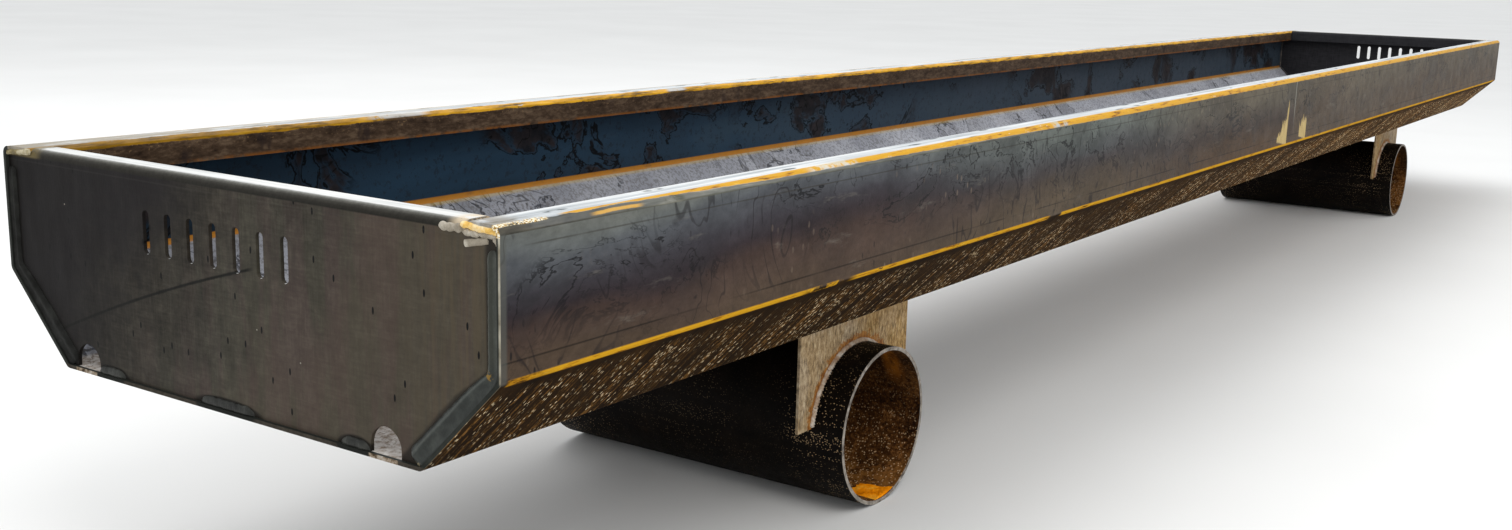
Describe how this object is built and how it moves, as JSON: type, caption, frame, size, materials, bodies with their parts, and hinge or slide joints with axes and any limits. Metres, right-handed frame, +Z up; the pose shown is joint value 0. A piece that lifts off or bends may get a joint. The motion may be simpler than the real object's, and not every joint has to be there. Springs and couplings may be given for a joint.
{
  "type": "livestock feed bunk",
  "caption": "Long open-topped steel feed trough with sloped lower walls, inward rolled rims and flat end plates, carried on crosswise open pipe feet with notched saddle plates.",
  "frame": {"origin": "on the ground, under the middle of the trough's length and width", "axes": "+X along the trough, from the end with the welded patch to the other end; +Y across it, from front to rear; +Z up"},
  "size_m": [6.096, 0.9144, 0.6382],
  "materials": {
    "shell_plate": "hot-rolled mill scale, rust lines on the bends",
    "end_plate": "hot-rolled mill scale, dark and scratched",
    "pipe_steel": "black mill scale, rusty bore",
    "saddle_plate": "weathered bare plate",
    "weld_metal": "as-welded bead"
  },
  "bodies": {
    "root": {"bottom_weld_left_1": "weld_metal", "bottom_weld_left_2": "weld_metal", "bottom_weld_left_3": "weld_metal", "bottom_weld_right_1": "weld_metal", "bottom_weld_right_2": "weld_metal", "bottom_weld_right_3": "weld_metal", "end_plate_left": "end_plate", "end_plate_right": "end_plate", "end_weld_left_front": "weld_metal", "end_weld_left_rear": "weld_metal", "end_weld_right_front": "weld_metal", "end_weld_right_rear": "weld_metal", "floor_weld_left_front": "weld_metal", "floor_weld_left_rear": "weld_metal", "floor_weld_right_front": "weld_metal", "floor_weld_right_rear": "weld_metal", "foot_pipe_left": "pipe_steel", "foot_pipe_right": "pipe_steel", "inner_weld_left_front": "weld_metal", "inner_weld_left_rear": "weld_metal", "inner_weld_right_front": "weld_metal", "inner_weld_right_rear": "weld_metal", "patch_weld_left": "weld_metal", "pipe_weld_left_front": "weld_metal", "pipe_weld_left_rear": "weld_metal", "pipe_weld_right_front": "weld_metal", "pipe_weld_right_rear": "weld_metal", "rim_weld_left_front": "weld_metal", "rim_weld_left_rear": "weld_metal", "rim_weld_right_front": "weld_metal", "rim_weld_right_rear": "weld_metal", "saddle_left_front": "saddle_plate", "saddle_left_rear": "saddle_plate", "saddle_right_front": "saddle_plate", "saddle_right_rear": "saddle_plate", "splice_weld": "weld_metal", "trough_shell_left": "shell_plate", "trough_shell_right": "shell_plate"}
  },
  "joints": []
}
